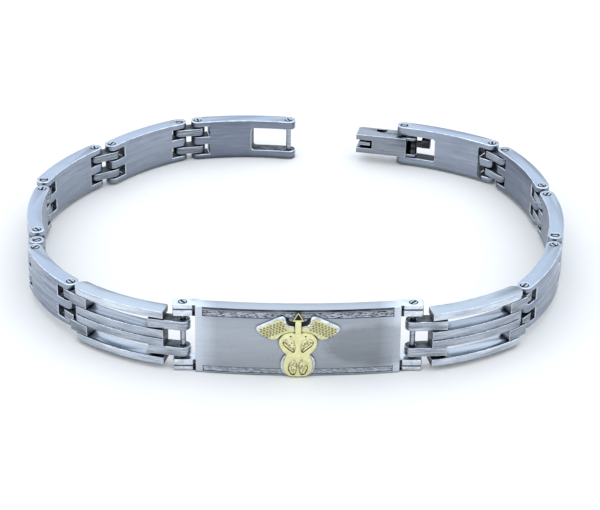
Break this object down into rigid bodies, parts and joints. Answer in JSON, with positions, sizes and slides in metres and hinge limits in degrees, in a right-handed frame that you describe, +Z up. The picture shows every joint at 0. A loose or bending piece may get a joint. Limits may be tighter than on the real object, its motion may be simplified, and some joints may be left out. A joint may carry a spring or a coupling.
{
  "type": "medical alert bracelet",
  "caption": "Steel link bracelet with a bowed identification plate, a raised gold emblem and a tongue clasp, unfastened and standing on its edge.",
  "frame": {"origin": "on the surface that the bracelet stands on, under the middle of its box", "axes": "+Z up, +X to the right of the plate as it is seen, -Y the way the plate faces"},
  "size_m": [0.079, 0.0674, 0.0103],
  "materials": {
    "steel_plate": "satin, brushed along its length, with textured borders",
    "steel_links": "brushed faces and polished edges",
    "steel_pins": "polished",
    "steel_clasp": "satin",
    "gold_emblem": "polished pale gold"
  },
  "bodies": {
    "band": {"clasp_cross_pin": "steel_pins", "clasp_hinge_pin": "steel_pins", "emblem": "gold_emblem", "half_link": "steel_links", "half_link_pin": "steel_pins", "id_plate": "steel_plate", "left_bar_1_bottom": "steel_links", "left_bar_1_top": "steel_links", "left_bar_2_bottom": "steel_links", "left_bar_2_top": "steel_links", "left_bar_3_bottom": "steel_links", "left_bar_3_top": "steel_links", "left_bottom_prong": "steel_links", "left_bottom_rail": "steel_links", "left_end_link": "steel_links", "left_link_1": "steel_links", "left_link_2": "steel_links", "left_link_3": "steel_links", "left_link_4": "steel_links", "left_long_bar_bottom": "steel_links", "left_long_bar_top": "steel_links", "left_middle_rail": "steel_links", "left_pins_1": "steel_pins", "left_pins_2": "steel_pins", "left_pins_3": "steel_pins", "left_pins_4": "steel_pins", "left_pins_5": "steel_pins", "left_plate_pins": "steel_pins", "left_top_prong": "steel_links", "left_top_rail": "steel_links", "right_bar_1_bottom": "steel_links", "right_bar_1_top": "steel_links", "right_bar_2_bottom": "steel_links", "right_bar_2_top": "steel_links", "right_bar_3_bottom": "steel_links", "right_bar_3_top": "steel_links", "right_bottom_prong": "steel_links", "right_bottom_rail": "steel_links", "right_end_link": "steel_links", "right_link_1": "steel_links", "right_link_2": "steel_links", "right_link_3": "steel_links", "right_long_bar_bottom": "steel_links", "right_long_bar_top": "steel_links", "right_middle_rail": "steel_links", "right_pins_1": "steel_pins", "right_pins_2": "steel_pins", "right_pins_3": "steel_pins", "right_pins_4": "steel_pins", "right_plate_pins": "steel_pins", "right_top_prong": "steel_links", "right_top_rail": "steel_links"},
    "tongue": {"clasp_tongue": "steel_clasp", "lever_pin": "steel_pins"},
    "lever": {"clasp_lever": "steel_clasp"}
  },
  "joints": [
    {"name": "tongue_hinge", "type": "hinge", "parent": "band", "child": "tongue", "pos_m": [0.01776, 0.03012, 0.00335], "axis": [0, 0.0292, 0.9996], "range_deg": [-15, 60]},
    {"name": "lever_rock", "type": "hinge", "parent": "tongue", "child": "lever", "pos_m": [0.01919, 0.02897, 0.00338], "axis": [0, 0.0292, 0.9996], "range_deg": [-10, 0]}
  ]
}
